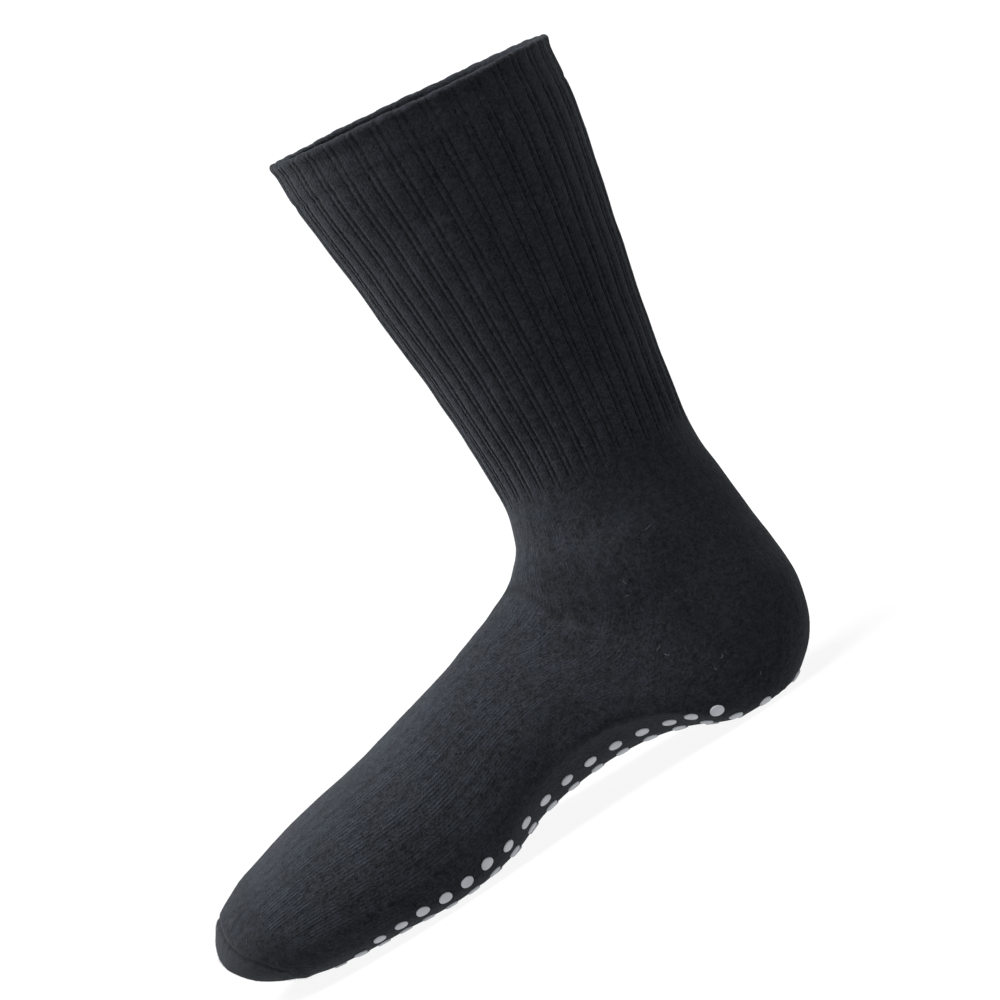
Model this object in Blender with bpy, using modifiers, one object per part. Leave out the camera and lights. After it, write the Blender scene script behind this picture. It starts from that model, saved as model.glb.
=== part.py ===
"""Slipper sock in the form of a right foot, standing empty on its sole.

The sock is knitted whole, so leg, heel, foot and toe are one hollow solid that is open at the collar.
Its form is a run of closed sections: level rings down the leg, a fan of rings round the heel, and upright
rings along the foot to the toe. The toe is closed by a linked seam, and grip dots stand proud of the sole.

Metres, +Z up. The toe points along -X, the inner side of the foot faces -Y, and the floor is at Z = 0.
"""

import math
from collections import namedtuple

import bpy
import bmesh
import numpy as np

# Driving sizes of the foot, outside the knit
FOOT_LENGTH = 0.262
BALL_WIDTH = 0.098
INSTEP_HEIGHT = 0.0685
HEEL_WIDTH = 0.067
ARCH_HEIGHT = 0.0095
INNER_ARCH_LIFT = 0.012
TOE_SPRING = 0.006

# Driving sizes of the leg, outside the knit
LEG_HEIGHT = 0.261
ANKLE_HEIGHT = 0.1065
ANKLE_REACH = 0.0430
ANKLE_DEPTH = 0.0770
ANKLE_WIDTH = 0.066
CALF_DEPTH = 0.1135
CALF_WIDTH = 0.106
LEG_LEAN = math.radians(4.4)
RIM_TILT = math.radians(6.2)

# The knitted wall
LEG_WALL = 0.0022
SOLE_WALL = 0.0030
SOLE_PRESS = 0.0022
WELT_HEIGHT = 0.015
WELT_STEP = 0.0005
WELT_EDGE = 0.0012
RIM_ROUND = 0.0008
RIB_REPEATS = 34
RIB_DEPTH = 0.0009

# The grip dots, and the field that they are printed in, measured along the sole and round its girth
DOT_DIAMETER = 0.0054
DOT_HEIGHT = 0.0006
DOT_ROOT = 0.0010
DOT_COLUMN_PITCH = 0.0111
DOT_ROW_PITCH_HEEL = 0.0128
DOT_ROW_PITCH_TOE = 0.0088
DOT_FIELD_HEEL = 0.0205
DOT_FIELD_TOE = 0.040

# The linked toe seam, a thread that lies in a groove of the wall
SEAM_THREAD = 0.0010
SEAM_GAP = 0.0003
SEAM_FLOOR_WIDTH = 0.0022
SEAM_LIP_WIDTH = 0.0040
SEAM_COLUMNS_EACH_SIDE = 11

# Fineness of the mesh. The leg has a column on each rib's crest and each valley, and the foot has half as many.
LEG_COLUMNS = 2 * RIB_REPEATS
FOOT_COLUMNS = RIB_REPEATS
DOT_SIDES = 6

# How far round either side of the sole the dots' places are measured, and at how many points
SOLE_TURN = math.radians(120)
SOLE_GIRTH_POINTS = 401
SOLE_LINE_POINTS = 600

# Leg rings, from the rim down. rise is the share of the way from the ankle ring to the rim, and depth and
# width go from the ankle's size at 0 to the calf's at 1. tilt is a share of the rim's tilt, and bow moves a
# ring backward by a share of the ankle's depth.
LegRow = namedtuple("LegRow", "name rise depth width tilt bow widest front back")
LEG_ROWS = (
    LegRow("rim", 1.000, 1.000, 0.995, 1.00, 0.000, 0.50, 2.00, 2.00),
    LegRow("welt_end", 0.903, 0.972, 0.975, 0.97, 0.006, 0.50, 2.00, 2.00),
    LegRow("calf", 0.717, 0.746, 0.760, 0.78, 0.017, 0.50, 2.00, 2.00),
    LegRow("calf_low", 0.494, 0.448, 0.460, 0.58, 0.018, 0.50, 2.00, 2.00),
    LegRow("shin", 0.286, 0.189, 0.200, 0.32, 0.016, 0.50, 2.00, 2.00),
    LegRow("shin_low", 0.126, 0.042, 0.050, 0.50, 0.010, 0.50, 1.98, 1.98),
    LegRow("rib_end", 0.000, 0.000, 0.000, 0.94, 0.000, 0.49, 1.95, 1.95),
)

# Heel rings, which fan round the heel. along is a share of the foot's length from the back of the heel.
# front_up goes from the instep's height at 0 to the ankle's at 1, and back_up is a share of the ankle's.
HeelRow = namedtuple("HeelRow", "name front_along front_up back_along back_up half widest front back")
HEEL_ROWS = (
    HeelRow("ankle", 0.3225, 0.816, 0.0150, 0.808, 0.985, 0.47, 1.95, 1.90),
    HeelRow("ankle_bone", 0.3344, 0.676, 0.0095, 0.648, 1.020, 0.47, 1.95, 2.00),
    HeelRow("heel_back", 0.3481, 0.576, 0.0035, 0.489, 1.010, 0.50, 1.92, 2.15),
    HeelRow("heel_low", 0.3641, 0.495, 0.0015, 0.290, 0.995, 0.56, 1.88, 2.30),
    HeelRow("heel_corner", 0.3809, 0.434, 0.0350, 0.096, 0.995, 0.62, 1.86, 2.50),
)

# Foot rings, from the heel's seat to the toe. up is a share of the instep's height, and middle and half are
# shares of the ball's width and half width. ridge moves the top of a ring to the inner side, also as a share
# of the ball's width. arch, spring and press are shares of the sizes of those names.
FootRow = namedtuple(
    "FootRow", "name top_along up sole_along arch spring press middle half ridge widest top sole"
)
FOOT_ROWS = (
    FootRow("heel_seat", 0.3989, 1.212, 0.100, 0.00, 0.0, 1.0, 0.000, 0.690, 0.010, 0.66, 1.85, 2.60),
    FootRow("heel_front", 0.4168, 1.182, 0.178, 0.00, 0.0, 0.7, -0.002, 0.700, 0.020, 0.68, 1.85, 2.70),
    FootRow("arch_back", 0.4390, 1.150, 0.256, 0.62, 0.0, 0.0, -0.006, 0.710, 0.030, 0.66, 1.88, 2.70),
    FootRow("arch_top", 0.4690, 1.110, 0.338, 1.00, 0.0, 0.0, -0.008, 0.730, 0.040, 0.64, 1.90, 2.70),
    FootRow("arch_front", 0.5030, 1.068, 0.414, 1.00, 0.0, 0.0, -0.008, 0.765, 0.050, 0.63, 1.92, 2.75),
    FootRow("waist", 0.5420, 1.026, 0.488, 0.66, 0.0, 0.0, -0.010, 0.820, 0.060, 0.64, 1.95, 2.80),
    FootRow("ball_back", 0.5860, 0.982, 0.558, 0.14, 0.0, 0.4, -0.012, 0.890, 0.068, 0.66, 2.00, 2.90),
    FootRow("ball", 0.6360, 0.934, 0.626, 0.00, 0.0, 1.0, -0.012, 0.960, 0.070, 0.67, 2.05, 3.00),
    FootRow("ball_front", 0.6900, 0.885, 0.688, 0.00, 0.0, 1.0, -0.006, 1.000, 0.066, 0.67, 2.10, 3.00),
    FootRow("toe_root", 0.7460, 0.840, 0.742, 0.00, 0.0, 0.5, 0.002, 0.990, 0.056, 0.66, 2.15, 2.90),
    FootRow("toe_back", 0.8020, 0.795, 0.790, 0.00, 0.0, 0.2, 0.016, 0.950, 0.044, 0.64, 2.20, 2.80),
    FootRow("toe_middle", 0.8580, 0.742, 0.832, 0.00, 0.05, 0.0, 0.032, 0.885, 0.030, 0.62, 2.20, 2.60),
    FootRow("toe_front", 0.9180, 0.672, 0.868, 0.00, 0.25, 0.0, 0.046, 0.795, 0.018, 0.60, 2.20, 2.50),
    FootRow("toe_seam", 0.9690, 0.566, 0.900, 0.00, 0.60, 0.0, 0.058, 0.665, 0.008, 0.58, 2.15, 2.40),
    FootRow("toe_cap", 0.9890, 0.478, 0.937, 0.00, 1.15, 0.0, 0.068, 0.495, 0.000, 0.55, 2.10, 2.30),
    FootRow("toe_end", 0.9975, 0.412, 0.970, 0.00, 1.90, 0.0, 0.074, 0.300, 0.000, 0.52, 2.00, 2.10),
)

# The edges of the dot field. along is a share of the foot's length at the middle of the sole, and inner and
# outer say how far round the field reaches on either side there, as shares of the ball's width.
DotEdge = namedtuple("DotEdge", "name along inner outer")
DOT_EDGES = (
    DotEdge("heel_end", 0.080, 0.115, 0.115),
    DotEdge("heel", 0.170, 0.370, 0.345),
    DotEdge("heel_front", 0.215, 0.345, 0.360),
    DotEdge("arch_back", 0.270, 0.255, 0.360),
    DotEdge("arch", 0.370, 0.236, 0.360),
    DotEdge("arch_front", 0.460, 0.275, 0.380),
    DotEdge("waist", 0.510, 0.330, 0.400),
    DotEdge("ball", 0.600, 0.455, 0.450),
    DotEdge("ball_front", 0.700, 0.475, 0.460),
    DotEdge("toe", 0.790, 0.400, 0.400),
    DotEdge("toe_end", 0.850, 0.230, 0.230),
)

# The point of the toe, as shares of the foot's length, the instep's height and the ball's width
TIP_ALONG = 1.0
TIP_UP = 0.345
TIP_MIDDLE = 0.076

# How many steps the mesh takes from a named row to the next, where it takes more than one
STEPS_AFTER = {
    "ankle_bone": 2, "heel_back": 2, "heel_low": 2, "heel_corner": 2, "heel_seat": 2, "toe_front": 2,
    "toe_seam": 2, "toe_cap": 2,
}

# One column for each number that a section is made from
Section = namedtuple(
    "Section",
    "front_along front_up back_along back_up middle half ridge widest front_power back_power arch wall",
)


def between(low, high, share):
    """The value that share of the way from low to high."""
    return low + (high - low) * share


def leg_section(row):
    """The section of one leg row, level apart from the rim's tilt, on the leaning line of the leg."""
    climb = (LEG_HEIGHT - ANKLE_HEIGHT) * row.rise
    along = ANKLE_REACH - climb * math.tan(LEG_LEAN) - ANKLE_DEPTH * row.bow
    up = ANKLE_HEIGHT + climb
    half_depth = between(ANKLE_DEPTH, CALF_DEPTH, row.depth) / 2
    tilt = RIM_TILT * row.tilt
    reach = half_depth * math.cos(tilt)
    lift = half_depth * math.sin(tilt)
    return Section(
        along + reach, up + lift, along - reach, up - lift, 0.0,
        between(ANKLE_WIDTH, CALF_WIDTH, row.width) / 2, 0.0, row.widest, row.front, row.back, 0.0, LEG_WALL,
    )


def heel_section(row):
    """The section of one heel row, a slanting ring from the front of the ankle to the back of the heel."""
    return Section(
        FOOT_LENGTH * row.front_along, between(INSTEP_HEIGHT, ANKLE_HEIGHT, row.front_up),
        FOOT_LENGTH * row.back_along, ANKLE_HEIGHT * row.back_up, 0.0,
        HEEL_WIDTH / 2 * row.half, 0.0, row.widest, row.front, row.back, 0.0, LEG_WALL,
    )


def foot_section(row):
    """The section of one foot row, from the top of the foot to its sole."""
    sole_up = ARCH_HEIGHT * row.arch + TOE_SPRING * row.spring - SOLE_PRESS * row.press
    return Section(
        FOOT_LENGTH * row.top_along, INSTEP_HEIGHT * row.up, FOOT_LENGTH * row.sole_along, sole_up + DOT_HEIGHT,
        BALL_WIDTH * row.middle, BALL_WIDTH / 2 * row.half, BALL_WIDTH * row.ridge, row.widest, row.top,
        row.sole, row.arch, SOLE_WALL,
    )


def tip_section():
    """The point of the toe, where the rings close."""
    along, up = FOOT_LENGTH * TIP_ALONG, INSTEP_HEIGHT * TIP_UP
    return Section(along, up, along, up, BALL_WIDTH * TIP_MIDDLE, 0.0, 0.0, 0.5, 2.0, 2.0, 0.0, SOLE_WALL)


ROW_NAMES = [row.name for row in LEG_ROWS + HEEL_ROWS + FOOT_ROWS] + ["tip"]
SECTIONS = np.array(
    [leg_section(row) for row in LEG_ROWS]
    + [heel_section(row) for row in HEEL_ROWS]
    + [foot_section(row) for row in FOOT_ROWS]
    + [tip_section()]
)


def section_stations():
    """The distance along the sock at each row, measured at the middle between a ring's front and its back."""
    middles = (SECTIONS[:, 0:2] + SECTIONS[:, 2:4]) / 2
    backs = SECTIONS[:, 2:4]
    steps = (np.linalg.norm(np.diff(middles, axis=0), axis=1) + np.linalg.norm(np.diff(backs, axis=0), axis=1)) / 2
    return np.concatenate([[0.0], np.cumsum(steps)])


STATIONS = section_stations()


def station(name):
    """The station of a named row."""
    return STATIONS[ROW_NAMES.index(name)]


def section_at(stations):
    """Every number of the section at each station, on a smooth curve through the rows. The tip is round, so
    there neither line of the toe runs on forward."""
    slopes = np.gradient(SECTIONS, STATIONS, axis=0)
    along_columns = [Section._fields.index("front_along"), Section._fields.index("back_along")]
    slopes[-1, along_columns] = 0.0
    index = np.clip(np.searchsorted(STATIONS, stations, side="right") - 1, 0, len(STATIONS) - 2)
    step = (STATIONS[index + 1] - STATIONS[index])[:, None]
    share = (stations[:, None] - STATIONS[index][:, None]) / step
    start, end = SECTIONS[index], SECTIONS[index + 1]
    rise = share * share * (3 - 2 * share)
    leave = share * (1 - share) ** 2
    arrive = share * share * (share - 1)
    return start + (end - start) * rise + (slopes[index] * leave + slopes[index + 1] * arrive) * step


def form(stations, angles):
    """Points of the sock's plain form. An angle is 0 at the front or top and pi at the back or sole, and it
    grows by way of the inner side."""
    s = Section(*section_at(stations).T)
    cosine, sine = np.cos(angles), np.sin(angles)
    power = np.where(cosine > 0, s.front_power, s.back_power)
    lengthwise = np.abs(cosine) ** (2 / power)
    sideways = np.sign(sine) * np.abs(sine) ** (2 / power)
    share = np.where(cosine > 0, s.widest * (1 - lengthwise), s.widest + (1 - s.widest) * lengthwise)
    along = between(s.front_along, s.back_along, share)
    up = between(s.front_up, s.back_up, share)
    inward = s.middle + s.half * sideways + s.ridge * np.clip(cosine, 0, 1) ** 2
    inner, below = np.clip(sideways, 0, 1), np.clip(-cosine, 0, 1)
    up = up + INNER_ARCH_LIFT * s.arch * inner * inner * below * below * (3 - 2 * below)
    return np.stack([-along, -inward, up], axis=1)


def outward(stations, angles):
    """Unit normals of the plain form, pointing out of the sock."""
    small_station, small_angle = 0.0004, 0.012
    low = np.clip(stations - small_station, 0, STATIONS[-1])
    high = np.clip(stations + small_station, 0, STATIONS[-1])
    down = form(high, angles) - form(low, angles)
    round_about = form(stations, angles + small_angle) - form(stations, angles - small_angle)
    normal = np.cross(down, round_about)
    return normal / np.maximum(np.linalg.norm(normal, axis=1, keepdims=True), 1e-12)


def press(points, floor):
    """Flattens what would dip under the floor, as a standing sock is flat where it rests."""
    points[:, 2] = np.maximum(points[:, 2], floor)
    return points


def relief(stations, angles):
    """How far the outside stands off the plain form: ribs and the doubled welt on the leg, and a groove for
    the toe seam."""
    fade = np.clip((station("rib_end") - stations) / (station("rib_end") - station("shin_low")), 0, 1)
    ribs = RIB_DEPTH / 2 * np.cos(RIB_REPEATS * angles) * fade
    welt = np.where(stations < WELT_HEIGHT + WELT_EDGE / 4, WELT_STEP, 0.0)
    rim = np.where(stations < RIM_ROUND / 2, RIM_ROUND, 0.0)
    turned = np.abs((angles + math.pi) % (2 * math.pi) - math.pi)
    over_toe = turned < (SEAM_COLUMNS_EACH_SIDE + 0.5) * 2 * math.pi / FOOT_COLUMNS
    in_groove = np.abs(stations - station("toe_seam")) < (SEAM_FLOOR_WIDTH + SEAM_LIP_WIDTH) / 4
    groove = np.where(over_toe & in_groove, SEAM_THREAD + SEAM_GAP, 0.0)
    return ribs + welt - rim - groove


def ring_stations():
    """Stations of the mesh's rings, from the rim to just before the tip."""
    found = []
    for i, name in enumerate(ROW_NAMES[:-1]):
        found += list(np.linspace(STATIONS[i], STATIONS[i + 1], STEPS_AFTER.get(name, 1), endpoint=False))
    seam = station("toe_seam")
    found = [s for s in found if s == 0 or s > 1.5 * WELT_HEIGHT and abs(s - seam) > SEAM_LIP_WIDTH]
    welt = [RIM_ROUND, WELT_HEIGHT, WELT_HEIGHT + WELT_EDGE]
    groove = [seam + side * width / 2 for side in (-1, 1) for width in (SEAM_FLOOR_WIDTH, SEAM_LIP_WIDTH)]
    return sorted(found + welt + groove)


def ring_points(ring_station):
    """One ring of points round the outside of the sock."""
    columns = LEG_COLUMNS if ring_station < station("rib_end") else FOOT_COLUMNS
    angles = np.arange(columns) * 2 * math.pi / columns
    stations = np.full(columns, float(ring_station))
    off = relief(stations, angles)[:, None]
    return press(form(stations, angles) + outward(stations, angles) * off, DOT_HEIGHT)


def bridge(bm, upper, lower):
    """Faces between two rings. The lower ring has as many points as the upper one, or half as many."""
    count = len(upper)
    for i in range(len(lower)):
        j = (i + 1) % len(lower)
        if len(lower) == count:
            bm.faces.new((upper[i], lower[i], lower[j], upper[j]))
        else:
            bm.faces.new((upper[2 * i], lower[i], upper[2 * i + 1]))
            bm.faces.new((upper[2 * i + 1], lower[i], lower[j]))
            bm.faces.new((upper[2 * i + 1], lower[j], upper[(2 * i + 2) % count]))


def outer_skin():
    """The open outer surface of the knit, and the wall's thickness at each of its points."""
    bm = bmesh.new()
    walls = []
    rings = []
    for ring_station in ring_stations():
        rings.append([bm.verts.new(point) for point in ring_points(ring_station)])
        wall = Section(*section_at(np.array([ring_station]))[0]).wall
        walls += [wall] * len(rings[-1])
    for upper, lower in zip(rings, rings[1:]):
        bridge(bm, upper, lower)
    tip = bm.verts.new(form(STATIONS[-1:], np.zeros(1))[0])
    walls.append(SOLE_WALL)
    last = rings[-1]
    for i in range(len(last)):
        bm.faces.new((last[i], tip, last[(i + 1) % len(last)]))
    return bm, walls


def mesh_object(name, bm, collection):
    """Puts a bmesh into a new object of that collection."""
    mesh = bpy.data.meshes.new(name)
    bm.to_mesh(mesh)
    bm.free()
    made = bpy.data.objects.new(name, mesh)
    collection.objects.link(made)
    return made


def sole_line():
    """Finely spaced stations, and the distance along the bottom of the foot at each, from the dot field's heel
    end."""
    stations = np.linspace(station("heel_corner"), STATIONS[-1], SOLE_LINE_POINTS)
    points = form(stations, np.full(len(stations), math.pi))
    along = np.concatenate([[0.0], np.cumsum(np.linalg.norm(np.diff(points, axis=0), axis=1))])
    return stations, along - np.interp(DOT_FIELD_HEEL, -points[:, 0], along)


def dot_rows():
    """The station of each row of dots, and how far the field reaches there to the inner and the outer side."""
    stations, along = sole_line()
    last = along[-1] - DOT_FIELD_TOE
    places = [0.0]
    while places[-1] < last:
        places.append(places[-1] + between(DOT_ROW_PITCH_HEEL, DOT_ROW_PITCH_TOE, places[-1] / last))
    row_stations = np.interp([p for p in places if p <= last], along, stations)
    shares = -form(row_stations, np.full(len(row_stations), math.pi))[:, 0] / FOOT_LENGTH
    edges = DotEdge(*zip(*DOT_EDGES))
    inner = BALL_WIDTH * np.interp(shares, edges.along, edges.inner)
    outer = BALL_WIDTH * np.interp(shares, edges.along, edges.outer)
    return zip(row_stations, inner, outer)


def dot_places():
    """The station and the angle of every grip dot. The columns follow the inner edge of the field, at an even
    distance round the girth of the sole."""
    turns = np.linspace(-SOLE_TURN, SOLE_TURN, SOLE_GIRTH_POINTS)
    angles = math.pi - turns
    found = []
    for row_station, inner, outer in dot_rows():
        points = form(np.full(len(angles), row_station), angles)
        girth = np.concatenate([[0.0], np.cumsum(np.linalg.norm(np.diff(points, axis=0), axis=1))])
        from_middle = girth - np.interp(0.0, turns, girth)
        for off_middle in np.arange(inner, -outer, -DOT_COLUMN_PITCH):
            found.append((row_station, float(np.interp(off_middle, from_middle, angles))))
    return found


def dots(collection):
    """All the grip dots, as short prisms that root in the sole and end flat on the floor where it rests."""
    places = np.array(dot_places())
    centres = form(places[:, 0], places[:, 1])
    normals = outward(places[:, 0], places[:, 1])
    normals[centres[:, 2] < DOT_HEIGHT] = (0.0, 0.0, -1.0)
    centres = press(centres, DOT_HEIGHT)
    turn = np.arange(DOT_SIDES)[:, None] * 2 * math.pi / DOT_SIDES
    bm = bmesh.new()
    for centre, normal in zip(centres, normals):
        lengthwise = np.cross(normal, (0.0, 1.0, 0.0))
        lengthwise /= np.linalg.norm(lengthwise)
        crosswise = np.cross(normal, lengthwise)
        edge = DOT_DIAMETER / 2 * (np.cos(turn) * lengthwise + np.sin(turn) * crosswise)
        root = [bm.verts.new(point) for point in centre - normal * DOT_ROOT + edge]
        foot = [bm.verts.new(point) for point in press(centre + normal * DOT_HEIGHT + edge, 0.0)]
        bm.faces.new(root)
        bm.faces.new(foot[::-1])
        for i in range(DOT_SIDES):
            j = (i + 1) % DOT_SIDES
            bm.faces.new((root[i], foot[i], foot[j], root[j]))
    bmesh.ops.recalc_face_normals(bm, faces=bm.faces)
    cutter = mesh_object("dot_cutter", bm, collection)
    cutter.hide_render = True
    cutter.display_type = "WIRE"
    return cutter


def knit_body(parts, cutters):
    """Leg, heel, foot and toe, knitted whole and hollow, with the printed grip dots rooted in the sole."""
    skin, walls = outer_skin()
    body = mesh_object("knit_body", skin, parts)
    thickness = body.vertex_groups.new(name="wall")
    for index, wall in enumerate(walls):
        thickness.add([index], wall / SOLE_WALL, "REPLACE")
    shell = body.modifiers.new("wall", "SOLIDIFY")
    shell.thickness = SOLE_WALL
    shell.offset = -1.0
    shell.vertex_group = thickness.name
    grip = body.modifiers.new("grip_dots", "BOOLEAN")
    grip.operation = "UNION"
    grip.solver = "EXACT"
    grip.object = dots(cutters)
    body.data.materials.append(fabric("black_knit", (0.020, 0.022, 0.026), 0.95))
    return body


def toe_seam(parts):
    """The linked seam that closes the toe, a thread over the top and sides of the toe in its groove."""
    turns = np.arange(-SEAM_COLUMNS_EACH_SIDE, SEAM_COLUMNS_EACH_SIDE + 1)
    angles = turns * 2 * math.pi / FOOT_COLUMNS
    stations = np.full(len(angles), station("toe_seam"))
    points = form(stations, angles) - outward(stations, angles) * SEAM_THREAD / 2
    curve = bpy.data.curves.new("toe_seam", "CURVE")
    curve.dimensions = "3D"
    curve.bevel_depth = SEAM_THREAD / 2
    curve.bevel_resolution = 1
    curve.use_fill_caps = True
    spline = curve.splines.new("POLY")
    spline.points.add(len(points) - 1)
    for point, place in zip(spline.points, points):
        point.co = (*place, 1.0)
    seam = bpy.data.objects.new("toe_seam", curve)
    parts.objects.link(seam)
    curve.materials.append(fabric("seam_thread", (0.010, 0.011, 0.013), 0.9))
    return seam


def fabric(name, colour, roughness):
    """A plain matt material."""
    material = bpy.data.materials.new(name)
    material.use_nodes = True
    shader = material.node_tree.nodes["Principled BSDF"]
    shader.inputs["Base Color"].default_value = (*colour, 1.0)
    shader.inputs["Roughness"].default_value = roughness
    shader.inputs["Metallic"].default_value = 0.0
    return material


def centre_on_floor(objects):
    """Moves the parts so that the origin is under the middle of the sock, on the floor."""
    bpy.context.view_layer.update()
    depsgraph = bpy.context.evaluated_depsgraph_get()
    corners = np.array([
        tuple(o.matrix_world @ v.co)
        for o in objects
        for v in o.evaluated_get(depsgraph).to_mesh().vertices
    ])
    middle = (corners.min(axis=0) + corners.max(axis=0)) / 2
    holder = bpy.data.objects.new("sock_origin", None)
    bpy.context.scene.collection.objects.link(holder)
    holder.location = (-middle[0], -middle[1], 0.0)
    for o in bpy.data.objects:
        if o is not holder and o.parent is None:
            o.parent = holder


def main():
    for o in list(bpy.data.objects):
        bpy.data.objects.remove(o)
    parts = bpy.data.collections.new("slipper_sock")
    cutters = bpy.data.collections.new("cutters")
    bpy.context.scene.collection.children.link(parts)
    bpy.context.scene.collection.children.link(cutters)
    body = knit_body(parts, cutters)
    seam = toe_seam(parts)
    centre_on_floor([body, seam])


main()
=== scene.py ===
"""Slipper sock: the looks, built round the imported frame.

The knit is modelled again at full fineness, on the same rings as the frame's solid, with its ribs, welt,
creases, heel gore and toe seam as real relief. Stitches and fuzz are bump, and the grip dots are domed drops.
Metres, +Z up, toe along -X, inner side of a right foot along -Y.
"""

import math
from collections import namedtuple

import bpy
import numpy as np
from mathutils import Matrix, Vector
from mathutils.bvhtree import BVHTree


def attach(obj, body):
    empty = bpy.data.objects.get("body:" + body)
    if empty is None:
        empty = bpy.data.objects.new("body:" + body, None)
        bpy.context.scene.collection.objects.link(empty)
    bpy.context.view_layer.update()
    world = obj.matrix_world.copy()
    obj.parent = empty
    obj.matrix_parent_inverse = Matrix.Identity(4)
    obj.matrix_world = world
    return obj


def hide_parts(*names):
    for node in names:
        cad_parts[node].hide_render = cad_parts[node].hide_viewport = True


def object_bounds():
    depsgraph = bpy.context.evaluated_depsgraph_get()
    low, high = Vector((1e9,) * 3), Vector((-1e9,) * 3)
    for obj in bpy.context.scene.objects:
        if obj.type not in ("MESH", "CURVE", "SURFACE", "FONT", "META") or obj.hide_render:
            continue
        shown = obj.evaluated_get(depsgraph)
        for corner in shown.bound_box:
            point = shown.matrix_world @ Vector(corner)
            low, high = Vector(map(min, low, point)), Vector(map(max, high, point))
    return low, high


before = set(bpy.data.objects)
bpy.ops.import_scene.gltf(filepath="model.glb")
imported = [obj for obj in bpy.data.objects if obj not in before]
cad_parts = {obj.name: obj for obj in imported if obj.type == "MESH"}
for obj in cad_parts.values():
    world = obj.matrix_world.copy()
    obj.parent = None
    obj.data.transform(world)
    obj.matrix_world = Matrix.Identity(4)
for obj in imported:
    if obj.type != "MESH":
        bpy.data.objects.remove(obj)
cad_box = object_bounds()

# Sizes of the foot and leg, outside the knit, as in the frame
FOOT_LENGTH = 0.262
BALL_WIDTH = 0.098
INSTEP_HEIGHT = 0.0685
HEEL_WIDTH = 0.067
ARCH_HEIGHT = 0.0095
INNER_ARCH_LIFT = 0.012
TOE_SPRING = 0.006
LEG_HEIGHT = 0.261
ANKLE_HEIGHT = 0.1065
ANKLE_REACH = 0.0430
ANKLE_DEPTH = 0.0770
ANKLE_WIDTH = 0.066
CALF_DEPTH = 0.1135
CALF_WIDTH = 0.106
LEG_LEAN = math.radians(4.4)
RIM_TILT = math.radians(6.2)
LEG_WALL = 0.0022
SOLE_WALL = 0.0030
SOLE_PRESS = 0.0022
WELT_HEIGHT = 0.015
RIB_REPEATS = 34

# Grip dots, as in the frame
DOT_DIAMETER = 0.0054
DOT_HEIGHT = 0.0006
DOT_COLUMN_PITCH = 0.0111
DOT_ROW_PITCH_HEEL = 0.0128
DOT_ROW_PITCH_TOE = 0.0088
DOT_FIELD_HEEL = 0.0205
DOT_FIELD_TOE = 0.040

# The knit's own fineness. A repeat of the rib is a wide rib of five wales and a thin one of two
WALES_A_REPEAT = 7
WIDE_RIB = 5 / WALES_A_REPEAT
LEG_WALES = WALES_A_REPEAT * RIB_REPEATS
FOOT_WALES = 187
COURSE = 0.0010
LEG_ROW_STEP = 0.0017
FOOT_ROW_STEP = 0.0021
TOE_ROW_STEP = 0.0012
SEAM_ROW_STEP = 0.00045
LINING_ROW_STEP = 0.0048
RING_POINTS = 721

LegRow = namedtuple("LegRow", "name rise depth width tilt bow widest front back")
LEG_ROWS = (
    LegRow("rim", 1.000, 1.000, 0.995, 1.00, 0.000, 0.50, 2.00, 2.00),
    LegRow("welt_end", 0.903, 0.972, 0.975, 0.97, 0.006, 0.50, 2.00, 2.00),
    LegRow("calf", 0.717, 0.746, 0.760, 0.78, 0.017, 0.50, 2.00, 2.00),
    LegRow("calf_low", 0.494, 0.448, 0.460, 0.58, 0.018, 0.50, 2.00, 2.00),
    LegRow("shin", 0.286, 0.189, 0.200, 0.32, 0.016, 0.50, 2.00, 2.00),
    LegRow("shin_low", 0.126, 0.042, 0.050, 0.50, 0.010, 0.50, 1.98, 1.98),
    LegRow("rib_end", 0.000, 0.000, 0.000, 0.94, 0.000, 0.49, 1.95, 1.95),
)
HeelRow = namedtuple("HeelRow", "name front_along front_up back_along back_up half widest front back")
HEEL_ROWS = (
    HeelRow("ankle", 0.3225, 0.816, 0.0150, 0.808, 0.985, 0.47, 1.95, 1.90),
    HeelRow("ankle_bone", 0.3344, 0.676, 0.0095, 0.648, 1.020, 0.47, 1.95, 2.00),
    HeelRow("heel_back", 0.3481, 0.576, 0.0035, 0.489, 1.010, 0.50, 1.92, 2.15),
    HeelRow("heel_low", 0.3641, 0.495, 0.0015, 0.290, 0.995, 0.56, 1.88, 2.30),
    HeelRow("heel_corner", 0.3809, 0.434, 0.0350, 0.096, 0.995, 0.62, 1.86, 2.50),
)
FootRow = namedtuple(
    "FootRow", "name top_along up sole_along arch spring press middle half ridge widest top sole"
)
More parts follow.
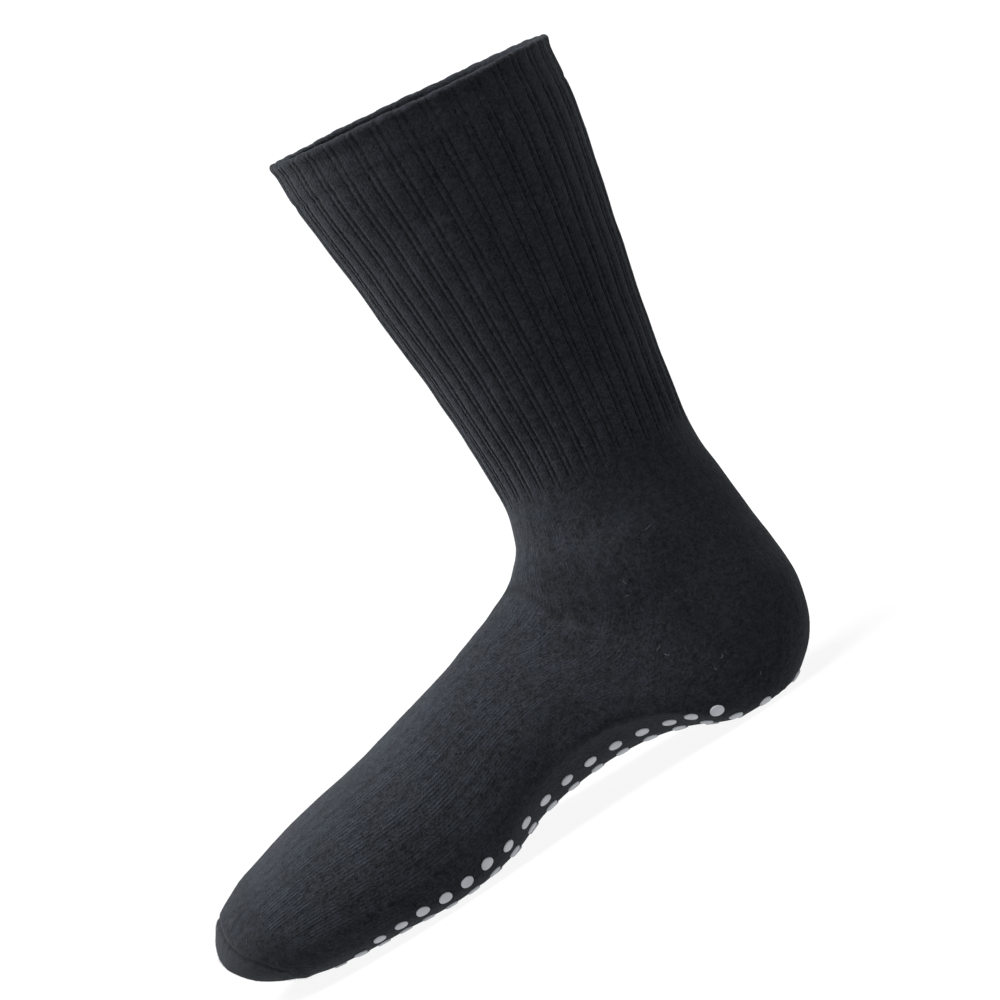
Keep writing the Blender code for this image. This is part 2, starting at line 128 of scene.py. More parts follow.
FOOT_ROWS = (
    FootRow("heel_seat", 0.3989, 1.212, 0.100, 0.00, 0.0, 1.0, 0.000, 0.690, 0.010, 0.66, 1.85, 2.60),
    FootRow("heel_front", 0.4168, 1.182, 0.178, 0.00, 0.0, 0.7, -0.002, 0.700, 0.020, 0.68, 1.85, 2.70),
    FootRow("arch_back", 0.4390, 1.150, 0.256, 0.62, 0.0, 0.0, -0.006, 0.710, 0.030, 0.66, 1.88, 2.70),
    FootRow("arch_top", 0.4690, 1.110, 0.338, 1.00, 0.0, 0.0, -0.008, 0.730, 0.040, 0.64, 1.90, 2.70),
    FootRow("arch_front", 0.5030, 1.068, 0.414, 1.00, 0.0, 0.0, -0.008, 0.765, 0.050, 0.63, 1.92, 2.75),
    FootRow("waist", 0.5420, 1.026, 0.488, 0.66, 0.0, 0.0, -0.010, 0.820, 0.060, 0.64, 1.95, 2.80),
    FootRow("ball_back", 0.5860, 0.982, 0.558, 0.14, 0.0, 0.4, -0.012, 0.890, 0.068, 0.66, 2.00, 2.90),
    FootRow("ball", 0.6360, 0.934, 0.626, 0.00, 0.0, 1.0, -0.012, 0.960, 0.070, 0.67, 2.05, 3.00),
    FootRow("ball_front", 0.6900, 0.885, 0.688, 0.00, 0.0, 1.0, -0.006, 1.000, 0.066, 0.67, 2.10, 3.00),
    FootRow("toe_root", 0.7460, 0.840, 0.742, 0.00, 0.0, 0.5, 0.002, 0.990, 0.056, 0.66, 2.15, 2.90),
    FootRow("toe_back", 0.8020, 0.795, 0.790, 0.00, 0.0, 0.2, 0.016, 0.950, 0.044, 0.64, 2.20, 2.80),
    FootRow("toe_middle", 0.8580, 0.742, 0.832, 0.00, 0.05, 0.0, 0.032, 0.885, 0.030, 0.62, 2.20, 2.60),
    FootRow("toe_front", 0.9180, 0.672, 0.868, 0.00, 0.25, 0.0, 0.046, 0.795, 0.018, 0.60, 2.20, 2.50),
    FootRow("toe_seam", 0.9690, 0.566, 0.900, 0.00, 0.60, 0.0, 0.058, 0.665, 0.008, 0.58, 2.15, 2.40),
    FootRow("toe_cap", 0.9890, 0.478, 0.937, 0.00, 1.15, 0.0, 0.068, 0.495, 0.000, 0.55, 2.10, 2.30),
    FootRow("toe_end", 0.9975, 0.412, 0.970, 0.00, 1.90, 0.0, 0.074, 0.300, 0.000, 0.52, 2.00, 2.10),
)
DotEdge = namedtuple("DotEdge", "name along inner outer")
DOT_EDGES = (
    DotEdge("heel_end", 0.080, 0.115, 0.115),
    DotEdge("heel", 0.170, 0.370, 0.345),
    DotEdge("heel_front", 0.215, 0.345, 0.360),
    DotEdge("arch_back", 0.270, 0.255, 0.360),
    DotEdge("arch", 0.370, 0.236, 0.360),
    DotEdge("arch_front", 0.460, 0.275, 0.380),
    DotEdge("waist", 0.510, 0.330, 0.400),
    DotEdge("ball", 0.600, 0.455, 0.450),
    DotEdge("ball_front", 0.700, 0.475, 0.460),
    DotEdge("toe", 0.790, 0.400, 0.400),
    DotEdge("toe_end", 0.850, 0.230, 0.230),
)
TIP_ALONG = 1.0
TIP_UP = 0.345
TIP_MIDDLE = 0.076

Section = namedtuple(
    "Section",
    "front_along front_up back_along back_up middle half ridge widest front_power back_power arch wall",
)


def between(low, high, share):
    """The value that share of the way from low to high."""
    return low + (high - low) * share


def smooth(low, high, value):
    """0 below low, 1 above high, and smooth between."""
    share = np.clip((value - low) / (high - low), 0, 1)
    return share * share * (3 - 2 * share)


def hill(value, width):
    """1 where the value is 0, falling off smoothly on both sides within about that width."""
    return np.exp(-((value / width) ** 2))


def leg_section(row):
    """The section of one leg row."""
    climb = (LEG_HEIGHT - ANKLE_HEIGHT) * row.rise
    along = ANKLE_REACH - climb * math.tan(LEG_LEAN) - ANKLE_DEPTH * row.bow
    up = ANKLE_HEIGHT + climb
    half_depth = between(ANKLE_DEPTH, CALF_DEPTH, row.depth) / 2
    tilt = RIM_TILT * row.tilt
    reach = half_depth * math.cos(tilt)
    lift = half_depth * math.sin(tilt)
    return Section(
        along + reach, up + lift, along - reach, up - lift, 0.0,
        between(ANKLE_WIDTH, CALF_WIDTH, row.width) / 2, 0.0, row.widest, row.front, row.back, 0.0, LEG_WALL,
    )


def heel_section(row):
    """The section of one heel row."""
    return Section(
        FOOT_LENGTH * row.front_along, between(INSTEP_HEIGHT, ANKLE_HEIGHT, row.front_up),
        FOOT_LENGTH * row.back_along, ANKLE_HEIGHT * row.back_up, 0.0,
        HEEL_WIDTH / 2 * row.half, 0.0, row.widest, row.front, row.back, 0.0, LEG_WALL,
    )


def foot_section(row):
    """The section of one foot row."""
    sole_up = ARCH_HEIGHT * row.arch + TOE_SPRING * row.spring - SOLE_PRESS * row.press
    return Section(
        FOOT_LENGTH * row.top_along, INSTEP_HEIGHT * row.up,
        FOOT_LENGTH * row.sole_along, sole_up + DOT_HEIGHT, BALL_WIDTH * row.middle,
        BALL_WIDTH / 2 * row.half, BALL_WIDTH * row.ridge, row.widest, row.top, row.sole, row.arch, SOLE_WALL,
    )


def tip_section():
    """The point of the toe, where the rings close."""
    along, up = FOOT_LENGTH * TIP_ALONG, INSTEP_HEIGHT * TIP_UP
    return Section(along, up, along, up, BALL_WIDTH * TIP_MIDDLE, 0.0, 0.0, 0.5, 2.0, 2.0, 0.0, SOLE_WALL)


ROW_NAMES = [row.name for row in LEG_ROWS + HEEL_ROWS + FOOT_ROWS] + ["tip"]
SECTIONS = np.array(
    [leg_section(row) for row in LEG_ROWS]
    + [heel_section(row) for row in HEEL_ROWS]
    + [foot_section(row) for row in FOOT_ROWS]
    + [tip_section()]
)
MIDDLES = (SECTIONS[:, 0:2] + SECTIONS[:, 2:4]) / 2
BACKS = SECTIONS[:, 2:4]
STEPS = sum(np.linalg.norm(np.diff(line, axis=0), axis=1) for line in (MIDDLES, BACKS)) / 2
STATIONS = np.concatenate([[0.0], np.cumsum(STEPS)])


def station(name):
    """The station of a named row."""
    return STATIONS[ROW_NAMES.index(name)]


def section_at(stations):
    """Every number of the section at each station, on a smooth curve through the rows."""
    slopes = np.gradient(SECTIONS, STATIONS, axis=0)
    slopes[-1, [0, 2]] = 0.0
    index = np.clip(np.searchsorted(STATIONS, stations, side="right") - 1, 0, len(STATIONS) - 2)
    step = (STATIONS[index + 1] - STATIONS[index])[:, None]
    share = (stations[:, None] - STATIONS[index][:, None]) / step
    start, end = SECTIONS[index], SECTIONS[index + 1]
    rise = share * share * (3 - 2 * share)
    leave = share * (1 - share) ** 2
    arrive = share * share * (share - 1)
    return start + (end - start) * rise + (slopes[index] * leave + slopes[index + 1] * arrive) * step


def form(stations, angles):
    """Points of the plain form, with X measured back from the heel. An angle is 0 at the front or top and
    pi at the back or sole, and it grows by way of the inner side."""
    s = Section(*section_at(stations).T)
    cosine, sine = np.cos(angles), np.sin(angles)
    power = np.where(cosine > 0, s.front_power, s.back_power)
    lengthwise = np.abs(cosine) ** (2 / power)
    sideways = np.sign(sine) * np.abs(sine) ** (2 / power)
    share = np.where(cosine > 0, s.widest * (1 - lengthwise), s.widest + (1 - s.widest) * lengthwise)
    along = between(s.front_along, s.back_along, share)
    up = between(s.front_up, s.back_up, share)
    inward = s.middle + s.half * sideways + s.ridge * np.clip(cosine, 0, 1) ** 2
    inner, below = np.clip(sideways, 0, 1), np.clip(-cosine, 0, 1)
    up = up + INNER_ARCH_LIFT * s.arch * inner * inner * below * below * (3 - 2 * below)
    return np.stack([-along, -inward, up], axis=1)


def ring_angles(ring_station, shares):
    """The angles at which a ring has gone round those shares of its girth, so that wales stay even."""
    fine = np.linspace(0, 2 * math.pi, RING_POINTS)
    points = form(np.full(len(fine), ring_station), fine)
    girth = np.concatenate([[0.0], np.cumsum(np.linalg.norm(np.diff(points, axis=0), axis=1))])
    return np.interp(shares * girth[-1], girth, fine)


# The frame's own X of the back of the heel, found from its toe end
HEEL_X = cad_box[0][0] + FOOT_LENGTH * TIP_ALONG


def in_frame(points):
    """Points of the form, moved to the frame's own place."""
    return points + np.array([HEEL_X, 0.0, 0.0])


def foot_place(along, up, across):
    """A place in the frame from a distance forward of the heel, a height and a distance to the inner side."""
    return np.array([HEEL_X - along, -across, up])


# Columns of the fine mesh in a repeat of the rib, as shares of it: groove, wide rib, groove, thin rib
RIB_COLUMNS = (0.0, 0.055, 0.14, 0.35, 0.57, 0.66, WIDE_RIB, 0.768, 0.857, 0.945)
RIB_DEPTH = 0.00054
RIB_CROWN = 0.00030
RIB_GROOVE = 0.042
THIN_CROWN_SHARE = 0.6
RIB_FADE = 0.012
RIB_END_WANDER = 0.0025
LINING_RIB_SHARE = 0.35
WELT_RIB_SHARE = 0.60
WELT_STEP = 0.00012
WELT_LINE_DEPTH = 0.00030
WELT_LINE_WIDTH = 0.0011
SEAM_DEPTH = 0.0005
SEAM_WIDTH = 0.0006
SEAM_BOW = 0.0042
SEAM_REACH = math.radians(118)
SEAM_END_FADE = math.radians(10)
SEAM_ROLL = 0.00012
SEAM_ROLL_OFF = 0.0020
SEAM_ROLL_WIDTH = 0.0014
SEAM_THREAD = 0.0008
SEAM_STITCH = 0.0016
SEAM_POINTS = 520
TOE_PADDED = 0.0125
TOE_PADDING = 0.00018
TOE_PADDING_BLEND = 0.0025
RIM_BEAD = 0.0008
RIM_BEAD_WIDTH = 0.0024
RIM_SCALLOP = 0.0002
RIM_SLACK = 0.0006
RIM_ROUNDNESS = 1.1
RIM_RINGS = 8


def leg_shares():
    """Shares of the girth at the columns of the leg."""
    return np.array([(i + part) / RIB_REPEATS for i in range(RIB_REPEATS) for part in RIB_COLUMNS])


def ribs(stations, shares):
    """The ribs of the leg: a wide rib and a thin one in each repeat, with a fine groove on either side."""
    phase = (shares * RIB_REPEATS) % 1.0
    to_groove = np.minimum(np.minimum(phase, 1 - phase), np.abs(phase - WIDE_RIB))
    groove = -RIB_DEPTH * hill(to_groove, RIB_GROOVE)
    wide = np.sin(math.pi * np.clip(phase / WIDE_RIB, 0, 1)) * (phase < WIDE_RIB)
    thin = np.sin(math.pi * np.clip((phase - WIDE_RIB) / (1 - WIDE_RIB), 0, 1)) * (phase >= WIDE_RIB)
    crown = RIB_CROWN * (wide + THIN_CROWN_SHARE * thin)
    turns = 2 * math.pi * shares
    end = station("rib_end") + RIB_END_WANDER * np.sin(9 * turns) * np.sin(5 * turns)
    fade = 1 - smooth(end - RIB_FADE, end, stations)
    in_welt = between(WELT_RIB_SHARE, 1.0, smooth(WELT_HEIGHT - 0.001, WELT_HEIGHT + 0.002, stations))
    return (groove + crown) * fade * in_welt


def from_top(angles):
    """How far each angle is from the top of the foot, either way round."""
    return np.abs((angles + math.pi) % (2 * math.pi) - math.pi)


def seam_station(angles):
    """The station of the toe seam at each angle. It bows towards the tip at the sides of the toe."""
    share = np.clip(from_top(angles) / SEAM_REACH, 0, 1)
    return station("toe_seam") + SEAM_BOW * np.sin(share * math.pi) ** 2


def toe_seam_relief(stations, angles):
    """The groove of the toe seam, a soft roll on either side of it, and the thicker terry from behind it."""
    over = 1 - smooth(SEAM_REACH - SEAM_END_FADE, SEAM_REACH, from_top(angles))
    off = stations - seam_station(angles)
    groove = -SEAM_DEPTH * hill(off, SEAM_WIDTH)
    rolls = SEAM_ROLL * sum(hill(off + side * SEAM_ROLL_OFF, SEAM_ROLL_WIDTH) for side in (1, -1))
    padding = TOE_PADDING * smooth(-TOE_PADDED - TOE_PADDING_BLEND, -TOE_PADDED + TOE_PADDING_BLEND, off)
    return (groove + rolls) * over + padding


def welt_relief(stations):
    """The doubled welt: a step at its foot, a line where its inner layer is joined, and a beaded rim."""
    step = WELT_STEP * (1 - smooth(WELT_HEIGHT - 0.0008, WELT_HEIGHT + 0.0012, stations))
    line = -WELT_LINE_DEPTH * hill(stations - WELT_HEIGHT - 0.0012, WELT_LINE_WIDTH)
    bead = RIM_BEAD * hill(stations, RIM_BEAD_WIDTH)
    return step + line + bead


# Paths of places forward of the heel and up, as seen from the side. Behind the gore is the heel pocket.
# GORE_TOP is a place on the gore, and GORE_BACK the way that leads behind it.
# The ankle crease is a trough with painted shade along it
CREASE_PATH = ((0.0960, 0.0868), (0.0913, 0.0833), (0.0872, 0.0760), (0.0845, 0.0690))
# The path of the painted highlight on the ankle bone
BONE_PATH = ((0.058, 0.076), (0.054, 0.064))
GORE_PATH = ((0.0400, 0.0760), (0.0516, 0.0560), (0.0597, 0.0424), (0.0710, 0.0240))
GORE_TOP = np.array([0.0516, 0.0560])
GORE_BACK = np.array([-0.859, -0.512])

# Soft troughs and ridges, each along its path, on the inner side where side is 1 and on the outer
# one where it is -1
Fold = namedtuple("Fold", "name side path width height")
FOLDS = (
    Fold("ankle_crease_inner", 1, CREASE_PATH, 0.0022, -0.0017),
    Fold("ankle_crease_tail", 1, ((0.0845, 0.0690), (0.0812, 0.0640), (0.0765, 0.0600)), 0.0030, -0.0006),
    Fold("ankle_roll_inner", 1, ((0.0905, 0.0925), (0.0850, 0.0840), (0.0800, 0.0725)), 0.0050, 0.0010),
    Fold("instep_roll_inner", 1, ((0.0990, 0.0790), (0.0930, 0.0700), (0.0890, 0.0620)), 0.0048, 0.0008),
    Fold("ankle_crease_outer", -1, ((0.0955, 0.0860), (0.0900, 0.0790), (0.0850, 0.0690)), 0.0022, -0.0013),
    Fold("ankle_roll_outer", -1, ((0.0895, 0.0910), (0.0840, 0.0815), (0.0790, 0.0700)), 0.0052, 0.0009),
    Fold("ankle_bone_inner", 1, ((0.0570, 0.0760), (0.0540, 0.0700)), 0.0140, 0.0022),
    Fold("ankle_bone_outer", -1, ((0.0540, 0.0700), (0.0500, 0.0640)), 0.0140, 0.0022),
    Fold("tendon_hollow_inner", 1, ((0.0240, 0.0980), (0.0260, 0.0700)), 0.0120, -0.0020),
    Fold("tendon_hollow_outer", -1, ((0.0240, 0.0960), (0.0260, 0.0680)), 0.0120, -0.0020),
    Fold("heel_hollow_inner", 1, ((0.0620, 0.0520), (0.0700, 0.0380)), 0.0110, -0.0012),
    Fold("gore_inner", 1, GORE_PATH, 0.0010, -0.00035),
    Fold("gore_outer", -1, GORE_PATH, 0.0010, -0.00035),
    Fold("pucker_inner", 1, ((0.2375, 0.0095), (0.2360, 0.0080)), 0.0024, 0.0010),
    Fold("pucker_dent_inner", 1, ((0.2420, 0.0110), (0.2400, 0.0130)), 0.0014, -0.0006),
    Fold("pucker_outer", -1, ((0.2375, 0.0090), (0.2360, 0.0080)), 0.0024, 0.0009),
)
# A fold of one side dies out towards the middle of the foot, between these distances from it
FOLD_FADE = (0.001, 0.009)


def from_path(places, path):
    """How far each place is from a path of straight runs."""
    nearest = np.full(len(places), np.inf)
    for start, end in zip(np.array(path), np.array(path[1:])):
        run = end - start
        share = np.clip((places - start) @ run / (run @ run), 0, 1)
        nearest = np.minimum(nearest, np.linalg.norm(places - start - share[:, None] * run, axis=1))
    return nearest


def side_places(points):
    """Each point's distance forward of the heel and its height."""
    return np.stack([HEEL_X - points[:, 0], points[:, 2]], axis=1)


def fold_relief(points):
    """The height of all the soft folds at each point."""
    places = side_places(points)
    height = np.zeros(len(points))
    for fold in FOLDS:
        near = smooth(*FOLD_FADE, -points[:, 1] * fold.side)
        height += fold.height * near * hill(from_path(places, fold.path), fold.width)
    return height


SLOW_WAVES = 0.00026
QUICK_WAVES = 0.00009


def unevenness(points):
    """The slight unevenness of a knit drawn over something soft. The wave lengths are in millimetres."""
    x, y, z = points.T * 1000
    slow = np.sin(x / 9.1 + 1.3 * np.sin(z / 13.7)) * np.sin(z / 8.3 + np.sin(y / 10.9) + 0.7)
    quick = np.sin(x / 3.1 + 2.1 * np.sin(y / 4.7)) * np.sin(z / 2.9 + 1.7 * np.sin(x / 5.3) + y / 3.7)
    return SLOW_WAVES * slow + QUICK_WAVES * quick


def grid_normals(grid):
    """Unit outward normals of a grid of points, rings by columns, closed round the ring."""
    down = np.gradient(grid, axis=0)
    round_about = (np.roll(grid, -1, axis=1) - np.roll(grid, 1, axis=1)) / 2
    normal = np.cross(down, round_about)
    return normal / np.maximum(np.linalg.norm(normal, axis=2, keepdims=True), 1e-12)


Skin = namedtuple("Skin", "points normals stations shares angles")


def skin(ring_stations, shares, lining=False):
    """A grid of points on the outside of the knit, with all its relief, or on its plain lining."""
    count = len(shares)
    angles = np.array([ring_angles(s, shares) for s in ring_stations])
    flat_stations = np.repeat(ring_stations, count)
    points = in_frame(form(flat_stations, angles.ravel()))
    normals = grid_normals(points.reshape(len(ring_stations), count, 3)).reshape(-1, 3)
    flat_shares = np.tile(shares, len(ring_stations))
    if lining:
        wall = Section(*section_at(flat_stations).T).wall
        off = -wall + LINING_RIB_SHARE * ribs(flat_stations, flat_shares)
        floor = DOT_HEIGHT + SOLE_WALL
    else:
        off = (
            ribs(flat_stations, flat_shares) + welt_relief(flat_stations)
            + toe_seam_relief(flat_stations, angles.ravel()) + fold_relief(points) + unevenness(points)
        )
        floor = DOT_HEIGHT
    points = points + normals * off[:, None]
    points[:, 2] = np.maximum(points[:, 2], floor)
    grid = points.reshape(len(ring_stations), count, 3)
    return Skin(grid, grid_normals(grid), ring_stations, shares, angles)


def row_stations():
    """Stations of the fine rings of the leg and of the foot, closer together round the toe."""
    leg_end = station("rib_end") + 0.002
    toe_start, last = station("toe_front"), STATIONS[-1]
    leg = np.linspace(0.0009, leg_end, int(leg_end / LEG_ROW_STEP))
    foot_count = int((toe_start - leg_end) / FOOT_ROW_STEP)
    foot = np.linspace(leg_end + FOOT_ROW_STEP, toe_start, foot_count, endpoint=False)
    seam_start = station("toe_seam") - SEAM_ROLL_OFF
    seam_end = station("toe_seam") + SEAM_BOW + SEAM_ROLL_OFF
    toe = np.arange(toe_start, seam_start - TOE_ROW_STEP / 2, TOE_ROW_STEP)
    seam = np.arange(seam_start, seam_end, SEAM_ROW_STEP)
    tip = np.linspace(seam_end, last - 0.0006, int((last - seam_end) / TOE_ROW_STEP) + 1)
    return leg, np.concatenate([foot, toe, seam, tip])


# What the knit is like at a point: how clearly its wales show, whether it is ribbed, and how light it is
# The lightness holds painted light and shade as well as the knit's own tone
Marks = namedtuple("Marks", "wale rib tone")
LINING_MARKS = Marks(0.3, 0.0, 0.9)
TIP_MARKS = Marks(0.3, 0.0, 1.0)
RIM_MARKS = Marks(0.3, 0.4, 0.95)


def add_object(name, data):
    """Puts a new object in the scene."""
    made = bpy.data.objects.new(name, data)
    bpy.context.scene.collection.objects.link(made)
    return made


class MeshBuilder:
    """Gathers rings of points and the faces between them, with the knit's own coordinates for each corner."""

    def __init__(self):
        self.points = []
        self.faces = []
        self.corners = []
        self.marks = []

    def ring(self, points, marks):
        """Adds a ring, with a mark or a row of marks of each kind, and returns the indices of its points."""
        first = len(self.points)
        self.points.extend(map(tuple, points))
        self.marks.append(np.stack([np.broadcast_to(mark, len(points)) for mark in marks], axis=1))
        return list(range(first, first + len(points)))

    def bridge(self, upper, lower, upper_uv, lower_uv):
        """Faces between two rings, whose counts are equal or in the ratio of two to one."""
        n, m = len(upper), len(lower)
        if n == m:
            for i in range(n):
                j = (i + 1) % n
                self.face((upper[i], lower[i], lower[j], upper[j]),
                          (upper_uv[i], lower_uv[i], lower_uv[i + 1], upper_uv[i + 1]))
            return
        for i in range(m):
            j, a, b, c = (i + 1) % m, 2 * i, 2 * i + 1, (2 * i + 2) % n
            self.face((upper[a], lower[i], upper[b]), (upper_uv[a], lower_uv[i], upper_uv[b]))
            self.face((upper[b], lower[i], lower[j]), (upper_uv[b], lower_uv[i], lower_uv[i + 1]))
            self.face((upper[b], lower[j], upper[c]), (upper_uv[b], lower_uv[i + 1], upper_uv[a + 2]))

    def face(self, indices, corners):
        """Adds one face with the coordinates of its corners."""
        self.faces.append(indices)
        self.corners.extend(corners)

    def object(self, name):
        """Makes the mesh object."""
        mesh = bpy.data.meshes.new(name)
        mesh.from_pydata(self.points, [], self.faces)
        layer = mesh.uv_layers.new(name="knit")
        layer.data.foreach_set("uv", np.array(self.corners, dtype=np.float32).ravel())
        for kind, values in zip(Marks._fields, np.concatenate(self.marks).astype(np.float32).T):
            layer = mesh.attributes.new("knit_" + kind, "FLOAT", "POINT")
            layer.data.foreach_set("value", np.ascontiguousarray(values))
        mesh.shade_smooth()
        mesh.validate()
        return add_object(name, mesh)


def ring_uv(shares, wales, courses):
    """The knit coordinates of one ring, wales round it and courses along it, ending on its first point."""
    around = np.append(shares, 1.0) * wales
    along = np.append(courses, courses[0])
    return np.stack([around, along], axis=1)


def column_courses(grid):
    """How many courses each point of a grid is from its first ring, counted along its own column."""
    steps = np.linalg.norm(np.diff(grid, axis=0), axis=2)
    return np.concatenate([np.zeros((1, grid.shape[1])), np.cumsum(steps, axis=0)]) / COURSE


# How much of the wales each region hides, how much its tone changes, and the painted shade and light along
# lines
WALES_HIDDEN = {
    "terry": 0.75, "heel": 0.65, "leg": 0.45, "stretched": 0.85, "under": 0.80, "behind_ball": 0.45,
}
# Painted shade darkens the heel pocket and a painted highlight lightens the ankle bone; the toe and the welt
# are darker
REGION_TONES_AND_PAINTED_LIGHT = {"heel": -0.10, "bone": 0.18, "toe": -0.12, "welt": -0.08}
# Painted shade in the ankle crease, the toe seam and at the edge of the toe padding, painted light where the
# knit turns under
PAINTED_LINE_LIGHT_AND_SHADE = {"painted_padding_edge_shade": -0.16, "painted_light_turned_under": 0.18, "crease": -0.28, "seam": -0.50}
WELT_RIB_HIDDEN = 0.3

# Where those regions begin and end
GORE_BLEND = 0.0015
HEEL_POCKET_TOP = (0.078, 0.096)
BALL_START = (0.110, 0.175)
# Width of the painted highlight on the ankle bone
BONE_WIDTH = 0.012
# Width of the painted shade in the ankle crease
CREASE_WIDTH = 0.0016
STRETCHED_PITCH = (0.0012, 0.0017)
UNDER_SLOPE = (0.15, 0.75)
# The slope where the knit turns under the foot, lightened with painted light
TURNED_SLOPE = 0.4
TURNED_SLOPE_WIDTH = 0.25
# Width of the painted shade at the edge of the toe padding
PADDING_EDGE_WIDTH = 0.0012


def knit_marks(part):
    """The marks at every point of a skin. The heel pocket and the toe are terry, where wales hardly show."""
    stations = np.repeat(part.stations, len(part.shares))
    points = part.points.reshape(-1, 3)
    places = side_places(points)
    inner_side = points[:, 1] < 0
    downward = -part.normals[:, :, 2].ravel()
    to_seam = stations - seam_station(part.angles.ravel())
    steps_round = np.linalg.norm(np.roll(part.points, -1, axis=1) - part.points, axis=2).ravel()
    pitch = steps_round * len(part.shares) / FOOT_WALES
    leg = 1 - smooth(station("rib_end") - RIB_FADE, station("rib_end"), stations)
    foot = 1 - leg
    toe = smooth(-TOE_PADDED - 0.002, -TOE_PADDED + 0.002, to_seam)
    behind_gore = smooth(-GORE_BLEND, GORE_BLEND, (places - GORE_TOP) @ GORE_BACK)
    masks = {
        "leg": leg,
        "welt": 1 - smooth(WELT_HEIGHT - 0.001, WELT_HEIGHT + 0.001, stations),
        "toe": toe,
        "terry": toe * (1 - smooth(0.0, 0.001, to_seam)),
        # The heel pocket: terry that hides the wales, and painted shade that darkens it
        "heel": behind_gore * foot * (1 - smooth(*HEEL_POCKET_TOP, places[:, 1])),
        # Painted highlight on the ankle bone
        "bone": hill(from_path(places, BONE_PATH), BONE_WIDTH) * inner_side,
        "stretched": smooth(*STRETCHED_PITCH, pitch) * foot,
        "under": smooth(*UNDER_SLOPE, downward) * foot,
        "behind_ball": (1 - smooth(*BALL_START, places[:, 0])) * foot,
        # Painted light on the slope where the knit turns under the foot
        "painted_light_turned_under": hill(downward - TURNED_SLOPE, TURNED_SLOPE_WIDTH) * foot,
        # Painted shade in the ankle crease
        "crease": hill(from_path(places, CREASE_PATH), CREASE_WIDTH) * inner_side,
        # Painted shade along the edge of the toe padding
        "painted_padding_edge_shade": hill(to_seam + TOE_PADDED, PADDING_EDGE_WIDTH),
        # Painted shade along the toe seam
        "seam": hill(to_seam, SEAM_WIDTH),
    }
    wale = np.prod([1 - hidden * masks[name] for name, hidden in WALES_HIDDEN.items()], axis=0)
    rib = leg * (1 - WELT_RIB_HIDDEN * masks["welt"])
    # Region tones with painted shade and a painted highlight, then painted shade and light along lines
    tone = 1 + sum(change * masks[name] for name, change in REGION_TONES_AND_PAINTED_LIGHT.items())
    tone = tone * np.prod([1 + change * masks[name] for name, change in PAINTED_LINE_LIGHT_AND_SHADE.items()], axis=0)
    return Marks(*(mark.reshape(part.points.shape[:2]) for mark in (wale, rib, tone)))


def mark_rows(marks):
    """The marks of each ring in turn."""
    return [Marks(*row) for row in zip(*marks)]


def bridge_rows(build, rings, shares, wales, courses, inward=False):
    """Faces between each ring and the next. The lining's face inward."""
    uvs = [ring_uv(shares, wales, row) for row in courses]
    for i in range(len(rings) - 1):
        a, b = (i + 1, i) if inward else (i, i + 1)
        build.bridge(rings[a], rings[b], uvs[a], uvs[b])


def sock_knit():
    """The whole knit, outside, rim and lining, as one closed mesh."""
    leg_stations, foot_stations = row_stations()
    shares = leg_shares()
    foot_shares = shares[::2]
    leg, foot = skin(leg_stations, shares), skin(foot_stations, foot_shares)
    build = MeshBuilder()

    leg_courses = column_courses(leg.points)
    from_toe = column_courses(foot.points[::-1])[::-1]
    from_leg = column_courses(foot.points) + leg_courses[-1][::2]
    leg_rings = [build.ring(p, m) for p, m in zip(leg.points, mark_rows(knit_marks(leg)))]
    foot_rings = [build.ring(p, m) for p, m in zip(foot.points, mark_rows(knit_marks(foot)))]
    bridge_rows(build, leg_rings, shares, LEG_WALES, leg_courses)
    build.bridge(leg_rings[-1], foot_rings[0], ring_uv(shares, FOOT_WALES, leg_courses[-1]),
                 ring_uv(foot_shares, FOOT_WALES, from_leg[0]))
    gore = int(np.searchsorted(foot_stations, station("heel_back")))
    bridge_rows(build, foot_rings[:gore + 1], foot_shares, FOOT_WALES, from_leg[:gore + 1])
    bridge_rows(build, foot_rings[gore:], foot_shares, FOOT_WALES, -from_toe[gore:])
    close_tip(build, foot_rings[-1], foot_shares, -from_toe[-1])

    lining_stations = np.arange(0.004, STATIONS[-1] - SOLE_WALL * 1.2, LINING_ROW_STEP)
    lining = skin(lining_stations, foot_shares, lining=True)
    rim_rings, rim_courses = rim(build, leg)
    loops = [leg_rings[0]] + rim_rings
    bridge_rows(build, loops, shares, LEG_WALES, rim_courses, inward=True)
    lining_rings = [build.ring(p, LINING_MARKS) for p in lining.points]
    lining_courses = column_courses(lining.points)
    inward_bridge(build, loops[-1], lining_rings[0], shares, foot_shares)
    bridge_rows(build, lining_rings, foot_shares, FOOT_WALES, lining_courses, inward=True)
    close_tip(build, lining_rings[-1][::-1], foot_shares, lining_courses[-1], inset=SOLE_WALL)
    return build.object("sock_knit"), leg, foot


def close_tip(build, ring, shares, courses, inset=0.0):
    """Closes the last ring at the tip of the toe."""
    tip = in_frame(form(STATIONS[-1:], np.zeros(1)))[0] + np.array([inset, 0.0, 0.0])
    top = build.ring([tip], TIP_MARKS)[0]
    uv = ring_uv(shares, FOOT_WALES, courses)
    centre = (FOOT_WALES / 2, float(np.mean(courses)))
    for i in range(len(ring)):
        build.face((ring[i], top, ring[(i + 1) % len(ring)]), (uv[i], centre, uv[i + 1]))


def inward_bridge(build, rim_ring, lining_ring, rim_shares, lining_shares):
    """Faces from the last ring of the rim, which has twice the columns, to the first of the lining."""
    upper_uv = ring_uv(rim_shares, LEG_WALES, np.zeros(len(rim_shares)))
    lower_uv = ring_uv(lining_shares, LEG_WALES, np.full(len(lining_shares), 3.0))
    first = len(build.faces)
    first_corner = len(build.corners)
    build.bridge(rim_ring, lining_ring, upper_uv, lower_uv)
    turned_corners = []
    corner = first_corner
    for i in range(first, len(build.faces)):
        size = len(build.faces[i])
        turned_corners.extend(build.corners[corner:corner + size][::-1])
        build.faces[i] = build.faces[i][::-1]
        corner += size
    build.corners[first_corner:] = turned_corners


